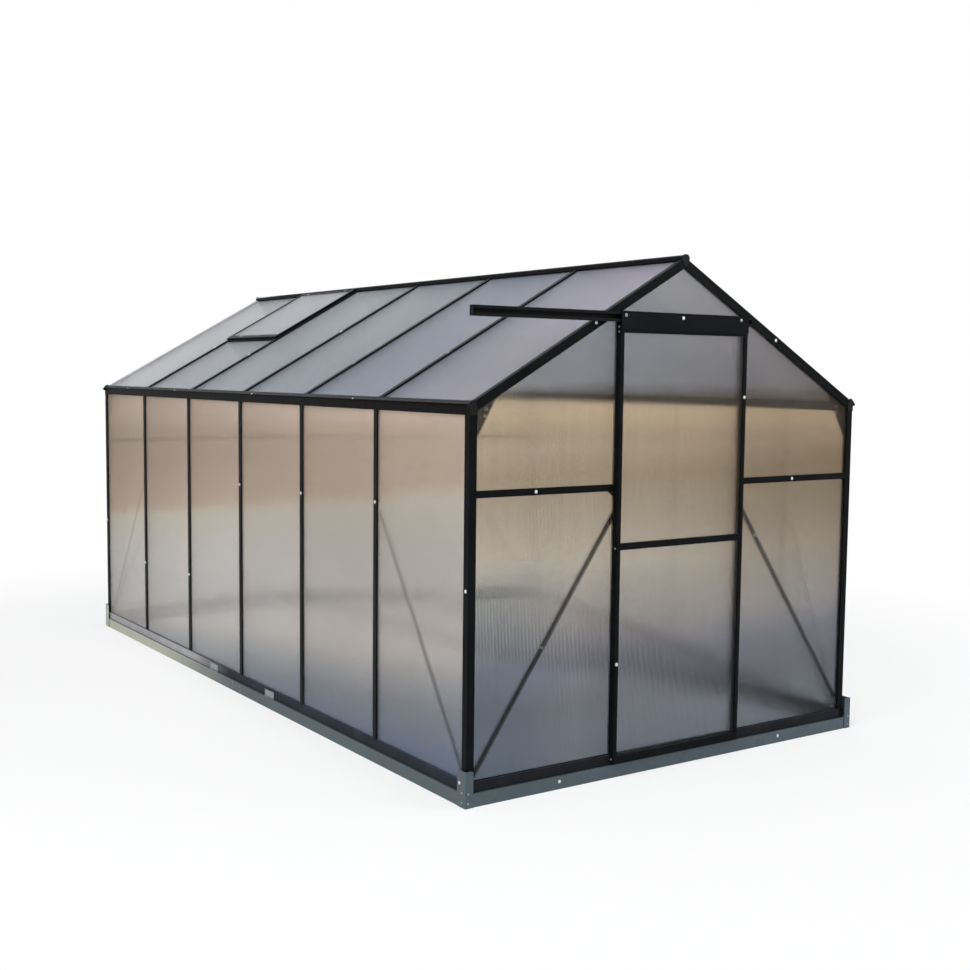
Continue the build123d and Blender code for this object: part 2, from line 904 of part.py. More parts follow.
# Door track: a lipped channel on the front of the gable, with a cap on each end
track_start = -half_width - track_left_overhang
track_end = door_bay / 2 + door_post_width / 2 + track_right_overrun
track_outline = [
    (0, 0),
    (track_depth, 0),
    (track_depth, track_wall + track_lip),
    (track_depth - track_lip_thickness, track_wall + track_lip),
    (track_depth - track_lip_thickness, track_wall),
    (track_wall, track_wall),
    (track_wall, track_height - track_wall),
    (track_depth - track_lip_thickness, track_height - track_wall),
    (track_depth - track_lip_thickness, track_height - track_wall - track_lip),
    (track_depth, track_height - track_wall - track_lip),
    (track_depth, track_height),
    (0, track_height),
]
with BuildPart() as door_track:
    with BuildSketch(Plane(origin=(track_end, front_y, track_bottom), x_dir=(0, -1, 0), z_dir=(-1, 0, 0))):
        add(outline(track_outline))
    extrude(amount=track_end - track_start)
    for cap_place in (track_start, track_end - track_cap_thickness):
        with BuildSketch(
            Plane(
                origin=(cap_place, front_y - track_depth / 2, track_bottom + track_height / 2),
                x_dir=(0, 1, 0),
                z_dir=(1, 0, 0),
            )
        ):
            Rectangle(track_depth, track_height)
        extrude(amount=track_cap_thickness)

# Sliding door leaf, in front of the frame
door_back_y = front_y - door_gap
door_low = base_height + door_sill_gap
door_high = track_bottom - door_track_gap
door_left = door_offset - door_width / 2
door_right = door_offset + door_width / 2
door_rail_length = door_width - door_stile_width - door_stile_width
door_rail_start = door_left + door_stile_width
door_face_y = door_back_y - door_depth

with BuildPart() as door_stiles:
    with BuildSketch(bar_plane((door_offset, door_face_y, door_low), (0, 1, 0), (0, 0, 1))):
        with Locations((-door_width / 2 + door_stile_width / 2, 0)):
            add(edge_section(door_stile_width, door_depth))
        mirror(about=Plane.YZ)
    extrude(amount=door_high - door_low)

door_foot_middle = door_low + door_foot_width / 2
door_head_middle = door_high - door_head_width / 2
door_rail_end = door_rail_start + door_rail_length
with BuildPart() as door_rails:
    with BuildSketch(bar_plane((door_rail_end, door_face_y, door_foot_middle), (0, 1, 0), (-1, 0, 0))):
        add(edge_section(door_foot_width, door_depth))
    extrude(amount=door_rail_length)
    with BuildSketch(bar_plane((door_rail_start, door_face_y, door_rail_height), (0, 1, 0), (1, 0, 0))):
        add(middle_section(door_rail_width, door_depth))
    extrude(amount=door_rail_length)
    with BuildSketch(bar_plane((door_rail_start, door_face_y, door_head_middle), (0, 1, 0), (1, 0, 0))):
        add(edge_section(door_head_width, door_depth))
    extrude(amount=door_rail_length)

door_sheet_width = door_rail_length + panel_bite + panel_bite
door_sheet_y = door_back_y - (door_depth - panel_thickness) / 2
door_sheet_spans = [
    (door_low + door_foot_width - panel_bite, door_rail_height - door_rail_width / 2 + panel_bite),
    (door_rail_height + door_rail_width / 2 - panel_bite, door_high - door_head_width + panel_bite),
]
with BuildPart() as door_panels:
    for sheet_low, sheet_high in door_sheet_spans:
        sheet_foot = (door_offset, door_sheet_y, sheet_low)
        with BuildSketch(Plane(origin=sheet_foot, x_dir=(1, 0, 0), z_dir=(0, 0, 1))):
            with Locations((0, -panel_thickness / 2)):
                Rectangle(door_sheet_width, panel_thickness)
        extrude(amount=sheet_high - sheet_low)

header_top = track_bottom + track_height + door_header_rise
with BuildPart() as door_header:
    with BuildSketch(
        Plane(
            origin=(door_offset, door_face_y, header_top - door_header_height / 2),
            x_dir=(1, 0, 0),
            z_dir=(0, -1, 0),
        )
    ):
        Rectangle(door_width, door_header_height)
    extrude(amount=door_header_thickness)

# Rollers: each turns on an axle that is fixed to the door header
roller_back = track_wall + roller_back_gap
roller_front = roller_back + roller_width
axle_end = door_gap + door_depth
roller_z = track_bottom + track_wall + roller_running_gap + roller_radius
roller_outline = [
    (0, roller_back),
    (roller_radius - roller_chamfer, roller_back),
    (roller_radius, roller_back + roller_chamfer),
    (roller_radius, roller_front - roller_chamfer),
    (roller_radius - roller_chamfer, roller_front),
    (axle_radius, roller_front),
    (axle_radius, axle_end),
    (0, axle_end),
]
roller_places = [door_left + roller_inset, door_right - roller_inset]
with BuildPart() as door_rollers:
    for roller_x in roller_places:
        roller_plane = Plane(origin=(roller_x, front_y, roller_z), x_dir=(1, 0, 0), z_dir=(0, 0, -1))
        with BuildSketch(roller_plane):
            add(outline(roller_outline))
        revolve(axis=Axis((roller_x, front_y, roller_z), (0, -1, 0)))

nodes = {
    "base_rail_left": base_rail_left,
    "base_rail_right": base_rail_right,
    "base_rail_front": base_rail_front,
    "base_rail_rear": base_rail_rear,
    "base_splice_plates": base_splice_plates,
    "corner_brackets": corner_brackets,
    "sill_clips": sill_clips,
    "sill_left": sill_left,
    "sill_right": sill_right,
    "sill_front": sill_front,
    "sill_rear": sill_rear,
    "corner_posts": corner_posts,
    "wall_studs_left": wall_studs_left,
    "wall_studs_right": wall_studs_right,
    "door_posts": door_posts,
    "rear_gable_posts": rear_gable_posts,
    "eave_beam_left": eave_beam_left,
    "eave_beam_right": eave_beam_right,
    "ridge_beam": ridge_beam,
    "beam_end_caps": beam_end_caps,
    "gable_rafters_front": gable_rafters_front,
    "gable_rafters_rear": gable_rafters_rear,
    "roof_bars_left": roof_bars_left,
    "roof_bars_right": roof_bars_right,
    "gable_rails_front": gable_rails_front,
    "gable_rails_rear": gable_rails_rear,
    "wall_braces": wall_braces,
    "gable_braces": gable_braces,
    "eave_gussets": eave_gussets,
    "wall_panels_left": wall_panels_left,
    "wall_panels_right": wall_panels_right,
    "roof_panels_left": roof_panels_left,
    "roof_panels_right": roof_panels_right,
    "gable_panels_front": gable_panels_front,
    "gable_panels_rear": gable_panels_rear,
    "vent_stiles": vent_stiles,
    "vent_rails": vent_rails,
    "vent_panel": vent_panel,
    "vent_trimmer": vent_trimmer,
    "door_track": door_track,
    "door_stiles": door_stiles,
    "door_rails": door_rails,
    "door_panels": door_panels,
    "door_header": door_header,
    "door_rollers": door_rollers,
}
for node_name, node in nodes.items():
    node.part.label = node_name
    export_step(node.part, f"parts/{node_name}.step")
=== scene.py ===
"""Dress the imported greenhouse: camera, light, floor, surface finishes and fasteners. Metres, Z up."""
import math

import bmesh
import bpy
from mathutils import Matrix, Vector


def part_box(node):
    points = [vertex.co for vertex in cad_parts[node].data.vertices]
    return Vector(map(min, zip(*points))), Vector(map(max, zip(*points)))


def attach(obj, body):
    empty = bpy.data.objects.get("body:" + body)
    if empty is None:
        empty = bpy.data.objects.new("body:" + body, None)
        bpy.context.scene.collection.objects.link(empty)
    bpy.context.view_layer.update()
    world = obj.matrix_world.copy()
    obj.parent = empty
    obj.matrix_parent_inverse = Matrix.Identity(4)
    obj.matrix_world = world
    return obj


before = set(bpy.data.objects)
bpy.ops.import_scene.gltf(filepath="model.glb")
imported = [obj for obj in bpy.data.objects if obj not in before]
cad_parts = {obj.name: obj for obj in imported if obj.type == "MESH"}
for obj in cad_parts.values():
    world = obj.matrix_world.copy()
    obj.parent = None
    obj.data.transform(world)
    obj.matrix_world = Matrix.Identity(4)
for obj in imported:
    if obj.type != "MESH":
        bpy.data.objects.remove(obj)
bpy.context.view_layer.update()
scene = bpy.context.scene
scene.view_settings.view_transform = "Standard"

# Camera
CAMERA_PLACE = Vector((-3.34012, -5.47064, 1.47589))
CAMERA_YAW, CAMERA_PITCH, CAMERA_ROLL = 0.598335, 0.085373, 0.0108503
CAMERA_LENS, CAMERA_SENSOR = 48.268, 36.0
CAMERA_REACH = 100.0


def make_camera():
    sight = Vector((math.sin(CAMERA_YAW) * math.cos(CAMERA_PITCH),
                    math.cos(CAMERA_YAW) * math.cos(CAMERA_PITCH), -math.sin(CAMERA_PITCH)))
    level = Vector((math.cos(CAMERA_YAW), -math.sin(CAMERA_YAW), 0.0))
    upward = level.cross(sight)
    right = math.cos(CAMERA_ROLL) * level + math.sin(CAMERA_ROLL) * upward
    top = -math.sin(CAMERA_ROLL) * level + math.cos(CAMERA_ROLL) * upward
    turn = Matrix((right, top, -sight)).transposed().to_4x4()
    data = bpy.data.cameras.new("camera")
    data.lens, data.sensor_width = CAMERA_LENS, CAMERA_SENSOR
    data.clip_end = CAMERA_REACH
    camera = bpy.data.objects.new("camera", data)
    camera.matrix_world = Matrix.Translation(CAMERA_PLACE) @ turn
    scene.collection.objects.link(camera)
    scene.camera = camera


make_camera()


# Node helpers
class Tree:
    """A shader node tree, with short calls that make a node and give back its output."""

    def __init__(self, owner):
        owner.use_nodes = True
        self.tree = owner.node_tree
        self.tree.nodes.clear()

    def node(self, kind, settings=None, **sockets):
        made = self.tree.nodes.new("ShaderNode" + kind)
        for key, value in (settings or {}).items():
            setattr(made, key, value)
        for key, value in sockets.items():
            self.feed(made.inputs[key.replace("_", " ")], value)
        return made

    def feed(self, socket, value):
        if isinstance(value, bpy.types.NodeSocket):
            self.tree.links.new(value, socket)
        else:
            socket.default_value = value

    def feed_all(self, made, values):
        for socket, value in zip(made.inputs, values):
            self.feed(socket, value)

    def place(self):
        return self.node("TexCoord").outputs["Object"]

    def normal(self):
        return self.node("NewGeometry").outputs["Normal"]

    def ray(self, kind):
        return self.node("LightPath").outputs[f"Is {kind} Ray"]

    def split(self, vector):
        return self.node("SeparateXYZ", Vector=vector).outputs

    def math(self, operation, *values):
        made = self.node("Math", {"operation": operation})
        self.feed_all(made, values)
        return made.outputs[0]

    def times(self, first, second):
        return self.math("MULTIPLY", first, second)

    def vector(self, operation, *values):
        made = self.node("VectorMath", {"operation": operation})
        self.feed_all(made, values)
        return made.outputs["Value" if operation in ("DOT_PRODUCT", "LENGTH") else "Vector"]

    def scale(self, value, low, high, to_low=0.0, to_high=1.0, smooth=False):
        made = self.node("MapRange", {"interpolation_type": "SMOOTHSTEP" if smooth else "LINEAR"})
        self.feed_all(made, (value, low, high, to_low, to_high))
        return made.outputs[0]

    def mix(self, share, first, second, blend="MIX"):
        made = self.node("Mix", {"data_type": "RGBA", "blend_type": blend})
        for place, value in ((0, share), (6, first), (7, second)):
            self.feed(made.inputs[place], value)
        return made.outputs[2]

    def ramp(self, value, stops):
        made = self.node("ValToRGB")
        marks = made.color_ramp.elements
        while len(marks) < len(stops):
            marks.new(0.5)
        for mark, (place, colour) in zip(marks, stops):
            mark.position, mark.color = place, colour
        self.feed(made.inputs[0], value)
        return made.outputs[0]

    def noise(self, where, size, detail=3.0, rough=0.55):
        return self.node("TexNoise", Vector=where, Scale=size, Detail=detail, Roughness=rough).outputs["Fac"]

    def bump(self, height, distance, strength):
        return self.node("Bump", Height=height, Distance=distance, Strength=strength).outputs[0]

    def blend(self, share, first, second):
        made = self.node("MixShader")
        self.feed_all(made, (share, first.outputs[0], second.outputs[0]))
        return made

    def finish(self, shader, target="OutputMaterial"):
        made = self.node(target)
        self.tree.links.new(shader.outputs[0], made.inputs["Surface"])


def rgb(code):
    """The linear colour of an sRGB code such as 1a2b3c."""
    parts = [int(code[place:place + 2], 16) / 255 for place in (0, 2, 4)]
    return tuple(p / 12.92 if p <= 0.04045 else ((p + 0.055) / 1.055) ** 2.4 for p in parts) + (1.0,)


def new_material(name):
    made = bpy.data.materials.new(name)
    return made, Tree(made)


# Light, backdrop and floor
WHITE = (1.0, 1.0, 1.0, 1.0)
SKY_COLOUR, SKY_LEVEL = (0.93, 0.96, 1.0, 1.0), 0.55
BACKGROUND_LEVEL = 1.0
FLOOR_SIZE = 60.0
FLOOR_TONES = (0.88, 0.88, 0.88, 1.0), (0.91, 0.91, 0.905, 1.0)
FLOOR_FADE = (2.0, 4.5)
FLOOR_GLOW = 0.6
LAMP_SIZE, LAMP_TARGET = 5.0, (0, 0, 0.8)
KEY_PLACE, KEY_POWER = (-6.0, -4.0, 7.5), 520.0
FILL_PLACE, FILL_POWER = (5.5, -6.5, 5.0), 220.0


def make_world():
    """Soft sky light, with plain white where the sky is seen."""
    world = bpy.data.worlds.new("studio")
    scene.world = world
    t = Tree(world)
    seen = t.math("MAXIMUM", t.ray("Camera"), t.math("MAXIMUM", t.ray("Glossy"), t.ray("Transmission")))
    soft = t.node("Background", Color=SKY_COLOUR, Strength=SKY_LEVEL)
    white = t.node("Background", Color=WHITE, Strength=BACKGROUND_LEVEL)
    t.finish(t.blend(seen, soft, white), "OutputWorld")


def make_floor():
    """A pale floor that holds the shadow and fades into the white backdrop."""
    mesh = bpy.data.meshes.new("floor")
    half = FLOOR_SIZE / 2
    corners = [(-half, -half, 0), (half, -half, 0), (half, half, 0), (-half, half, 0)]
    mesh.from_pydata(corners, [], [(0, 1, 2, 3)])
    floor = bpy.data.objects.new("floor", mesh)
    scene.collection.objects.link(floor)
    made, t = new_material("floor")
    where = t.place()
    tone = t.mix(t.noise(where, size=3.0), *FLOOR_TONES)
    skin = t.node("BsdfPrincipled", Base_Color=tone, Roughness=0.9, Specular_IOR_Level=0.0)
    glow = t.node("Emission", Color=WHITE, Strength=BACKGROUND_LEVEL)
    fade = t.scale(t.vector("LENGTH", where), *FLOOR_FADE, FLOOR_GLOW, 1.0, smooth=True)
    t.finish(t.blend(t.times(fade, t.ray("Camera")), skin, glow))
    mesh.materials.append(made)


def make_lamp(name, place, power):
    data = bpy.data.lights.new(name, "AREA")
    data.shape, data.size, data.energy = "DISK", LAMP_SIZE, power
    lamp = bpy.data.objects.new(name, data)
    aim = (Vector(LAMP_TARGET) - Vector(place)).to_track_quat("-Z", "Y")
    lamp.matrix_world = Matrix.Translation(place) @ aim.to_matrix().to_4x4()
    scene.collection.objects.link(lamp)


make_world()
make_floor()
make_lamp("key_lamp", KEY_PLACE, KEY_POWER)
make_lamp("fill_lamp", FILL_PLACE, FILL_POWER)

# Colours of the dust and painted sky reflection on black coats, of the steel and of the plastic
COAT_DUST_AND_SKY_SHEEN = "8e8a94"
STEEL_TONES, STEEL_CLOUD, STEEL_REAR_PALE = ("435159", "515f67"), "475358", "c4c3b2"
PLASTIC_TONES = "0d0e0f", "161719"


# Finishes
def black_coat(name, tones, dust_and_sheen=0.10, rough=0.42, painted_sheen=None):
    """Satin powder coat on aluminium: fine orange peel, dull patches, and pale dust with painted sky
    reflection on what faces up.

    The painted sheen is a pale wash of painted light on the faces that look one way: its colour, the
    places along Y where it starts and is full, and that way.
    """
    made, t = new_material(name)
    where, normal = t.place(), t.normal()
    patches = t.noise(where, size=9.0, detail=5.0)
    # Pale dust and painted sky reflection, in patches, on faces that look up
    lying = t.times(t.scale(t.split(normal)["Z"], 0.35, 0.95), t.scale(patches, 0.3, 0.75, 0.35, 1.0))
    body = t.mix(t.scale(patches, 0.35, 0.7), rgb(tones[0]), rgb(tones[1]))
    colour = t.mix(t.times(lying, dust_and_sheen), body, rgb(COAT_DUST_AND_SKY_SHEEN))
    # Painted sheen: a pale wash of painted light on the faces that look one way, growing along Y
    if painted_sheen:
        sheen_colour, start, full, way = painted_sheen
        back = t.scale(t.split(where)["Y"], start, full, smooth=True)
        reach = t.times(back, t.scale(t.vector("DOT_PRODUCT", normal, way), 0.3, 0.6))
        colour = t.mix(t.times(reach, t.scale(patches, 0.3, 0.75, 0.7, 0.95)), colour, rgb(sheen_colour))
    dull = t.scale(t.noise(where, size=40.0, detail=4.0), 0.3, 0.7, rough - 0.06, rough + 0.08)
    peel = t.bump(t.noise(where, size=1400.0, detail=2.0), distance=0.0002, strength=0.35)
    skin = t.node("BsdfPrincipled", Base_Color=colour, Roughness=dull, Specular_IOR_Level=0.04, Normal=peel)
    t.finish(skin)
    return made


def galvanised(name):
    """Zinc coated sheet: spangle facets, clouding and a paler cream on the outward faces that grows towards
    the rear.
    """
    made, t = new_material(name)
    where = t.place()
    facets = t.node("TexVoronoi", Vector=where, Scale=90.0).outputs["Color"]
    facet = t.node("SeparateColor", Color=facets).outputs[0]
    cloud = t.noise(where, size=5.0, detail=5.0)
    body = t.mix(facet, rgb(STEEL_TONES[0]), rgb(STEEL_TONES[1]))
    body = t.mix(t.scale(cloud, 0.35, 0.7), body, rgb(STEEL_CLOUD))
    # Paler cream on the outward faces, growing towards the rear
    outward = t.scale(t.math("ABSOLUTE", t.split(t.normal())["X"]), 0.4, 0.9)
    back = t.scale(t.split(where)["Y"], -0.1, 1.2, 0.04, 0.95, smooth=True)
    rear_pale = t.times(t.times(outward, back), t.scale(cloud, 0.2, 0.8, 0.75, 1.0))
    colour = t.mix(rear_pale, body, rgb(STEEL_REAR_PALE))
    rough = t.scale(facet, 0.0, 1.0, 0.42, 0.58)
    grain = t.bump(t.noise(where, size=260.0, detail=3.0), distance=0.0003, strength=0.3)
    t.finish(t.node("BsdfPrincipled", Base_Color=colour, Metallic=0.35, Roughness=rough, Normal=grain))
    return made


def zinc(name, clean, dull):
    """Zinc plating of bolts and washers, tarnished in patches."""
    made, t = new_material(name)
    tarnish = t.noise(t.place(), size=150.0, detail=4.0)
    colour = t.mix(t.scale(tarnish, 0.45, 0.75), rgb(clean), rgb(dull))
    rough = t.scale(tarnish, 0.3, 0.7, 0.22, 0.4)
    t.finish(t.node("BsdfPrincipled", Base_Color=colour, Metallic=0.75, Roughness=rough))
    return made


def black_plastic(name):
    """Moulded black plastic with a fine pebble and rubbed patches."""
    made, t = new_material(name)
    where = t.place()
    rubbed = t.noise(where, size=60.0, detail=4.0)
    colour = t.mix(t.scale(rubbed, 0.4, 0.75), rgb(PLASTIC_TONES[0]), rgb(PLASTIC_TONES[1]))
    rough = t.scale(rubbed, 0.3, 0.7, 0.48, 0.62)
    cells = t.node("TexVoronoi", Vector=where, Scale=900.0).outputs["Distance"]
    pebble = t.bump(cells, distance=0.0002, strength=0.4)
    skin = t.node("BsdfPrincipled", Base_Color=colour, Roughness=rough, Specular_IOR_Level=0.12,
                  Normal=pebble)
    t.finish(skin)
    return made


# Twin wall sheets: flutes, streaks along them, the drift of the painted reflection and shade, and what the
# sheet does to light
FLUTE_PITCH, FLUTE_TILT = 0.006, 0.35
STREAK_FINENESS, STREAK_RUN = 60.0, 1.2
LEVEL_DRIFT = 0.025
RIB_TINT = (0.86, 0.86, 0.86, 1.0)
LAMP_TINT = (0.92, 0.92, 0.92, 1.0)
SHEET_IOR, BLUR_SPREAD = 1.25, 1.5


def twin_wall(name, across, clear, blur, slant, stops, painted_shades):
    """Clear twin wall sheet: flutes that smear what stands behind them, faint rib lines and streaks.

    The flutes lie side by side on the axis across. Clear is the share of light that goes through and blur
    its least roughness. The stops colour the sheet along a slanted axis, in metres, with painted reflection
    of the surroundings seen through and in it, and painted shade where it is darker. Each painted shade is
    a tint that darkens, two axes, and the places on both where it starts and where it is full. Lamp light
    passes the sheet unbent.
    """
    made, t = new_material(name)
    where = t.place()
    split = t.split(where)
    wave = t.math("SINE", t.times(split[across], 2 * math.pi / FLUTE_PITCH))
    drawn = t.node("CombineXYZ", X=t.times(split[across], STREAK_FINENESS), Y=t.times(split["Z"], STREAK_RUN))
    streak = t.noise(drawn.outputs[0], size=1.0, detail=4.0)
    drift = t.scale(t.noise(where, size=1.6, detail=4.0), 0.25, 0.75, -LEVEL_DRIFT, LEVEL_DRIFT)
    level = t.math("ADD", t.vector("DOT_PRODUCT", where, slant), drift)
    # The ramp paints the surroundings seen through and reflected in the sheet, and painted shade where it is
    # darker
    low, high = stops[0][0], stops[-1][0]
    marks = [((place - low) / (high - low), rgb(code)) for place, code in stops]
    colour = t.ramp(t.scale(level, low, high), marks)
    # Painted shade: each tint darkens the sheet towards a corner
    for tint, axes, start, full in painted_shades:
        reach = t.times(t.scale(split[axes[0]], start[0], full[0], smooth=True),
                        t.scale(split[axes[1]], start[1], full[1], smooth=True))
        colour = t.mix(reach, colour, rgb(tint), "MULTIPLY")
    colour = t.mix(t.scale(streak, 0.35, 0.75, 0.0, 0.4), colour, RIB_TINT, "MULTIPLY")
    colour = t.mix(t.scale(wave, 0.3, 1.0, 0.0, 0.5), colour, RIB_TINT, "MULTIPLY")
    rough = t.scale(streak, 0.3, 0.7, blur, blur * BLUR_SPREAD)
    lean = t.node("CombineXYZ", **{across: t.times(wave, FLUTE_TILT)}).outputs[0]
    ripple = t.vector("NORMALIZE", t.vector("ADD", t.normal(), lean))
    skin = t.node("BsdfPrincipled", Base_Color=colour, Roughness=rough, IOR=SHEET_IOR, Normal=ripple,
                  Transmission_Weight=clear)
    t.finish(t.blend(t.ray("Shadow"), skin, t.node("BsdfTransparent", Color=LAMP_TINT)))
    return made


# Coats: tones of the black, and the painted sheen where light washes them out
SILL_PAINTED_SHEEN = ("b6b4b6", 0.1, 0.7, (-1.0, 0.0, 0.0))
RIDGE_PAINTED_SHEEN = ("b9babd", 1.55, 1.88, (0.0, 0.0, 1.0))
RAFTER_PAINTED_SHEEN = ("c6c8ca", 1.7, 1.8, (0.0, -0.7, 0.7))
ALUMINIUM = black_coat("black_powder_coat", ("0a0c0d", "111314"))
STUD_COAT = black_coat("stud_coat", ("151617", "1b1c1d"))
EAVE_COAT = black_coat("eave_coat", ("090909", "0e0d0c"), rough=0.46)
FRONT_SILL_COAT = black_coat("front_sill_coat", ("1c1d21", "232428"))
SILL_COAT = black_coat("sill_coat_painted_sheen", ("22262e", "2a2f38"), painted_sheen=SILL_PAINTED_SHEEN)
BAR_COAT = black_coat("roof_bar_coat", ("101118", "15161e"), dust_and_sheen=0.05)
RIDGE_COAT = black_coat("ridge_coat_painted_sheen", ("0e0f12", "141518"), dust_and_sheen=0.08, painted_sheen=RIDGE_PAINTED_SHEEN)
RAFTER_COAT = black_coat("rafter_coat_painted_sheen", ("0e0f10", "141517"), painted_sheen=RAFTER_PAINTED_SHEEN)
STEEL = galvanised("galvanised_sheet")
ZINC = zinc("zinc_plate", "e3e5e6", "a9adb0")
# A darker copy of the zinc: painted shade on bolts and clips that give no glint
DULL_AND_SHADED_ZINC = zinc("dull_and_shaded_zinc_plate", "98a2a8", "5c656b")
PLASTIC = black_plastic("moulded_plastic")

# Sheets: painted reflection of the surroundings up the walls and gables and along the roof, painted shade
# where they are darker, and the corners darkened by painted shade
WALL_PAINTED_LIGHT_STOPS = [(-0.1, "8c9cb7"), (0.1, "a9b0bb"), (0.3, "ebe8e4"), (0.6, "f8f4f0"),
              (0.85, "faf2e4"), (0.9, "f0ddc9"), (1.1, "e4d2bf"), (1.3, "e3d1c0")]
GABLE_PAINTED_LIGHT_STOPS = [(0.15, "7d838e"), (0.3, "7c8089"), (0.45, "8c8e99"), (0.8, "e9ddcd"), (1.12, "e2cfb0"),
               (1.22, "f5e1c7"), (1.33, "e4d2b6"), (1.4, "cfc2af"), (1.45, "faf8f6"), (1.8, "f5faf7")]
ROOF_PAINTED_LIGHT_STOPS = [(-1.6, "c8c4d0"), (-0.9, "b6bcca"), (0.3, "cbd2d7"), (1.6, "dbdde2")]
PLAIN_PAINTED_LIGHT_STOPS = [(0.1, "fafafa"), (0.9, "fcfaf6"), (1.3, "f8f0e6")]
# Painted shade: tint, the two axes, and where it starts and where it is full
WALL_PAINTED_SHADES = [("d3d0ce", "YZ", (0.9, 1.6), (-1.5, 0.75))]
GABLE_PAINTED_SHADES = [("d2cec8", "XZ", (-0.5, 0.45), (0.8, 0.85)), ("dce6ec", "XZ", (-0.45, 0.86), (-0.8, 0.7))]
ROOF_PAINTED_SHADES = [("e2e4e8", "YZ", (1.7, 1.85), (1.0, 1.45))]
PLAIN_PAINTED_SHADES = [("f0f0f0", "YZ", (1.0, 0.5), (-1.8, 0.1))]
UPWARD, BACKWARD, WALL_SLANT = (0.0, 0.0, 1.0), (0.0, 1.0, 0.0), (0.0, 0.115, 1.0)
WALL_SHEET = twin_wall("wall_sheet", "Y", 0.75, 0.06, WALL_SLANT, WALL_PAINTED_LIGHT_STOPS, WALL_PAINTED_SHADES)
GABLE_SHEET = twin_wall("gable_sheet", "X", 0.97, 0.05, UPWARD, GABLE_PAINTED_LIGHT_STOPS, GABLE_PAINTED_SHADES)
ROOF_SHEET = twin_wall("roof_sheet", "Y", 0.76, 0.15, BACKWARD, ROOF_PAINTED_LIGHT_STOPS, ROOF_PAINTED_SHADES)
FAR_WALL_SHEET = twin_wall("far_wall_sheet", "Y", 0.95, 0.12, UPWARD, PLAIN_PAINTED_LIGHT_STOPS, PLAIN_PAINTED_SHADES)
FAR_GABLE_SHEET = twin_wall("far_gable_sheet", "X", 0.95, 0.12, UPWARD, PLAIN_PAINTED_LIGHT_STOPS, PLAIN_PAINTED_SHADES)

# Nodes of each finish, with plain black aluminium on all others
FINISHES = (
    (STEEL, ("base_rail_left", "base_rail_right", "base_rail_front", "base_rail_rear",
             "base_splice_plates", "corner_brackets")),
    (DULL_AND_SHADED_ZINC, ("sill_clips",)),
    (PLASTIC, ("beam_end_caps", "door_rollers")),
    (SILL_COAT, ("sill_left",)),
    (FRONT_SILL_COAT, ("sill_front",)),
    (STUD_COAT, ("wall_studs_left", "wall_studs_right", "door_track")),
    (EAVE_COAT, ("eave_beam_left", "eave_beam_right")),
    (RIDGE_COAT, ("ridge_beam",)),
    (RAFTER_COAT, ("gable_rafters_rear",)),
    (BAR_COAT, ("roof_bars_left", "roof_bars_right")),
    (WALL_SHEET, ("wall_panels_left",)),
    (FAR_WALL_SHEET, ("wall_panels_right",)),
    (GABLE_SHEET, ("gable_panels_front", "door_panels")),
    (FAR_GABLE_SHEET, ("gable_panels_rear",)),
    (ROOF_SHEET, ("roof_panels_left", "roof_panels_right", "vent_panel")),
)
finish_of = {node_name: finish for finish, node_names in FINISHES for node_name in node_names}

for node_name, node_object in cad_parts.items():
    finish = finish_of.get(node_name, ALUMINIUM)
    if not node_object.material_slots:
        node_object.data.materials.append(finish)
    for slot in node_object.material_slots:
        slot.material = finish

# Fasteners and small plates are in millimetres until they are written to the mesh
MM = 0.001
LEFT, RIGHT, FRONT, REAR = Vector((-1, 0, 0)), Vector((1, 0, 0)), Vector((0, -1, 0)), Vector((0, 1, 0))
HEX_SIDES, ROUND_SIDES = 6, 18
# Turned outlines: radius and height above the seat
PAN_HEAD = [(6.4, -0.4), (6.4, 0.9), (6.1, 1.2), (4.9, 1.2), (4.8, 2.4),
            (3.9, 3.2), (2.2, 3.6), (1.3, 3.6), (1.0, 2.9)]
LOW_HEAD = [(6.2, -0.4), (6.2, 0.5), (5.4, 1.2), (3.4, 1.75), (1.4, 1.9), (1.0, 1.5)]
SMALL_HEAD = [(3.8, -0.4), (3.8, 0.7), (3.2, 1.5), (1.8, 2.0), (1.1, 2.0), (0.8, 1.5)]
WASHER = [(7.0, -0.4), (7.0, 0.9), (6.7, 1.2), (3.2, 1.2)]
HEX_HEAD = [(5.8, 1.0), (5.8, 4.4), (5.1, 5.0)]
BOLT_END = [(3.0, 4.8), (3.0, 7.4), (2.4, 8.0)]


